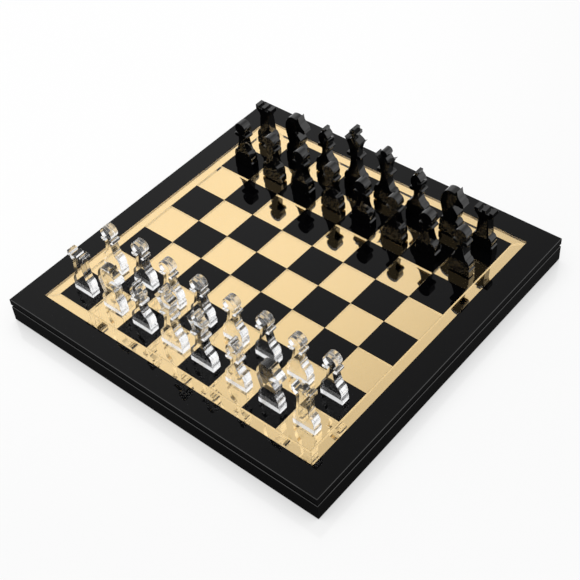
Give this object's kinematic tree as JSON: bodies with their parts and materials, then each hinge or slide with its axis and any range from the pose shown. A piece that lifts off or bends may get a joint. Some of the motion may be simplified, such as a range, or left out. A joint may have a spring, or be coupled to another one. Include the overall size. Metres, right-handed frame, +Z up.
{
  "type": "chess set with board",
  "caption": "Chess set: a square board of mirror gold and gloss black squares that lifts off a shallow storage box, with flat figures cut from thick clear and black acrylic.",
  "frame": {"origin": "middle of the underside, on the surface that the feet stand on", "axes": "+X from the a-file to the h-file, +Y from White's side to Black's side, +Z up"},
  "size_m": [0.392, 0.392, 0.109],
  "materials": {
    "black_board_acrylic": "polished black cast acrylic sheet",
    "clear_tile_acrylic": "polished clear acrylic over gold foil",
    "gold_mirror_foil": "gold mirror foil",
    "clear_figure_acrylic": "clear cast acrylic with flame polished edges",
    "black_figure_acrylic": "black cast acrylic with flame polished edges",
    "black_felt": "self-adhesive felt",
    "black_rubber": "moulded rubber"
  },
  "bodies": {
    "box": {"box_base": "black_board_acrylic", "box_wall_back": "black_board_acrylic", "box_wall_front": "black_board_acrylic", "box_wall_left": "black_board_acrylic", "box_wall_right": "black_board_acrylic", "felt_lining": "black_felt", "rubber_feet": "black_rubber"},
    "lid": {"black_squares": "black_board_acrylic", "border_back": "clear_tile_acrylic", "border_foil": "gold_mirror_foil", "border_front": "clear_tile_acrylic", "border_left": "clear_tile_acrylic", "border_right": "clear_tile_acrylic", "gold_square_foil": "gold_mirror_foil", "gold_squares": "clear_tile_acrylic", "lid_deck": "black_board_acrylic", "lid_frame": "black_board_acrylic", "locating_strip_back": "black_board_acrylic", "locating_strip_front": "black_board_acrylic", "locating_strip_left": "black_board_acrylic", "locating_strip_right": "black_board_acrylic", "reveal_strip_back": "black_board_acrylic", "reveal_strip_front": "black_board_acrylic", "reveal_strip_left": "black_board_acrylic", "reveal_strip_right": "black_board_acrylic"},
    "black_bishop_c": {"black_bishop_c": "black_figure_acrylic"},
    "black_bishop_f": {"black_bishop_f": "black_figure_acrylic"},
    "black_king": {"black_king": "black_figure_acrylic"},
    "black_knight_b": {"black_knight_b": "black_figure_acrylic"},
    "black_knight_g": {"black_knight_g": "black_figure_acrylic"},
    "black_pawn_a": {"black_pawn_a": "black_figure_acrylic"},
    "black_pawn_b": {"black_pawn_b": "black_figure_acrylic"},
    "black_pawn_c": {"black_pawn_c": "black_figure_acrylic"},
    "black_pawn_d": {"black_pawn_d": "black_figure_acrylic"},
    "black_pawn_e": {"black_pawn_e": "black_figure_acrylic"},
    "black_pawn_f": {"black_pawn_f": "black_figure_acrylic"},
    "black_pawn_g": {"black_pawn_g": "black_figure_acrylic"},
    "black_pawn_h": {"black_pawn_h": "black_figure_acrylic"},
    "black_queen": {"black_queen": "black_figure_acrylic"},
    "black_rook_a": {"black_rook_a": "black_figure_acrylic"},
    "black_rook_h": {"black_rook_h": "black_figure_acrylic"},
    "white_bishop_c": {"white_bishop_c": "clear_figure_acrylic"},
    "white_bishop_f": {"white_bishop_f": "clear_figure_acrylic"},
    "white_king": {"white_king": "clear_figure_acrylic"},
    "white_knight_b": {"white_knight_b": "clear_figure_acrylic"},
    "white_knight_g": {"white_knight_g": "clear_figure_acrylic"},
    "white_pawn_a": {"white_pawn_a": "clear_figure_acrylic"},
    "white_pawn_b": {"white_pawn_b": "clear_figure_acrylic"},
    "white_pawn_c": {"white_pawn_c": "clear_figure_acrylic"},
    "white_pawn_d": {"white_pawn_d": "clear_figure_acrylic"},
    "white_pawn_e": {"white_pawn_e": "clear_figure_acrylic"},
    "white_pawn_f": {"white_pawn_f": "clear_figure_acrylic"},
    "white_pawn_g": {"white_pawn_g": "clear_figure_acrylic"},
    "white_pawn_h": {"white_pawn_h": "clear_figure_acrylic"},
    "white_queen": {"white_queen": "clear_figure_acrylic"},
    "white_rook_a": {"white_rook_a": "clear_figure_acrylic"},
    "white_rook_h": {"white_rook_h": "clear_figure_acrylic"}
  },
  "joints": [
    {"name": "lid_lift", "type": "slide", "parent": "box", "child": "lid", "axis": [0, 0, 1], "range_m": [0, 0.1]},
    {"name": "black_bishop_c_lift", "type": "slide", "parent": "lid", "child": "black_bishop_c", "axis": [0, 0, 1], "range_m": [0, 0.1]},
    {"name": "black_bishop_f_lift", "type": "slide", "parent": "lid", "child": "black_bishop_f", "axis": [0, 0, 1], "range_m": [0, 0.1]},
    {"name": "black_king_lift", "type": "slide", "parent": "lid", "child": "black_king", "axis": [0, 0, 1], "range_m": [0, 0.1]},
    {"name": "black_knight_b_lift", "type": "slide", "parent": "lid", "child": "black_knight_b", "axis": [0, 0, 1], "range_m": [0, 0.1]},
    {"name": "black_knight_g_lift", "type": "slide", "parent": "lid", "child": "black_knight_g", "axis": [0, 0, 1], "range_m": [0, 0.1]},
    {"name": "black_pawn_a_lift", "type": "slide", "parent": "lid", "child": "black_pawn_a", "axis": [0, 0, 1], "range_m": [0, 0.1]},
    {"name": "black_pawn_b_lift", "type": "slide", "parent": "lid", "child": "black_pawn_b", "axis": [0, 0, 1], "range_m": [0, 0.1]},
    {"name": "black_pawn_c_lift", "type": "slide", "parent": "lid", "child": "black_pawn_c", "axis": [0, 0, 1], "range_m": [0, 0.1]},
    {"name": "black_pawn_d_lift", "type": "slide", "parent": "lid", "child": "black_pawn_d", "axis": [0, 0, 1], "range_m": [0, 0.1]},
    {"name": "black_pawn_e_lift", "type": "slide", "parent": "lid", "child": "black_pawn_e", "axis": [0, 0, 1], "range_m": [0, 0.1]},
    {"name": "black_pawn_f_lift", "type": "slide", "parent": "lid", "child": "black_pawn_f", "axis": [0, 0, 1], "range_m": [0, 0.1]},
    {"name": "black_pawn_g_lift", "type": "slide", "parent": "lid", "child": "black_pawn_g", "axis": [0, 0, 1], "range_m": [0, 0.1]},
    {"name": "black_pawn_h_lift", "type": "slide", "parent": "lid", "child": "black_pawn_h", "axis": [0, 0, 1], "range_m": [0, 0.1]},
    {"name": "black_queen_lift", "type": "slide", "parent": "lid", "child": "black_queen", "axis": [0, 0, 1], "range_m": [0, 0.1]},
    {"name": "black_rook_a_lift", "type": "slide", "parent": "lid", "child": "black_rook_a", "axis": [0, 0, 1], "range_m": [0, 0.1]},
    {"name": "black_rook_h_lift", "type": "slide", "parent": "lid", "child": "black_rook_h", "axis": [0, 0, 1], "range_m": [0, 0.1]},
    {"name": "white_bishop_c_lift", "type": "slide", "parent": "lid", "child": "white_bishop_c", "axis": [0, 0, 1], "range_m": [0, 0.1]},
    {"name": "white_bishop_f_lift", "type": "slide", "parent": "lid", "child": "white_bishop_f", "axis": [0, 0, 1], "range_m": [0, 0.1]},
    {"name": "white_king_lift", "type": "slide", "parent": "lid", "child": "white_king", "axis": [0, 0, 1], "range_m": [0, 0.1]},
    {"name": "white_knight_b_lift", "type": "slide", "parent": "lid", "child": "white_knight_b", "axis": [0, 0, 1], "range_m": [0, 0.1]},
    {"name": "white_knight_g_lift", "type": "slide", "parent": "lid", "child": "white_knight_g", "axis": [0, 0, 1], "range_m": [0, 0.1]},
    {"name": "white_pawn_a_lift", "type": "slide", "parent": "lid", "child": "white_pawn_a", "axis": [0, 0, 1], "range_m": [0, 0.1]},
    {"name": "white_pawn_b_lift", "type": "slide", "parent": "lid", "child": "white_pawn_b", "axis": [0, 0, 1], "range_m": [0, 0.1]},
    {"name": "white_pawn_c_lift", "type": "slide", "parent": "lid", "child": "white_pawn_c", "axis": [0, 0, 1], "range_m": [0, 0.1]},
    {"name": "white_pawn_d_lift", "type": "slide", "parent": "lid", "child": "white_pawn_d", "axis": [0, 0, 1], "range_m": [0, 0.1]},
    {"name": "white_pawn_e_lift", "type": "slide", "parent": "lid", "child": "white_pawn_e", "axis": [0, 0, 1], "range_m": [0, 0.1]},
    {"name": "white_pawn_f_lift", "type": "slide", "parent": "lid", "child": "white_pawn_f", "axis": [0, 0, 1], "range_m": [0, 0.1]},
    {"name": "white_pawn_g_lift", "type": "slide", "parent": "lid", "child": "white_pawn_g", "axis": [0, 0, 1], "range_m": [0, 0.1]},
    {"name": "white_pawn_h_lift", "type": "slide", "parent": "lid", "child": "white_pawn_h", "axis": [0, 0, 1], "range_m": [0, 0.1]},
    {"name": "white_queen_lift", "type": "slide", "parent": "lid", "child": "white_queen", "axis": [0, 0, 1], "range_m": [0, 0.1]},
    {"name": "white_rook_a_lift", "type": "slide", "parent": "lid", "child": "white_rook_a", "axis": [0, 0, 1], "range_m": [0, 0.1]},
    {"name": "white_rook_h_lift", "type": "slide", "parent": "lid", "child": "white_rook_h", "axis": [0, 0, 1], "range_m": [0, 0.1]}
  ]
}
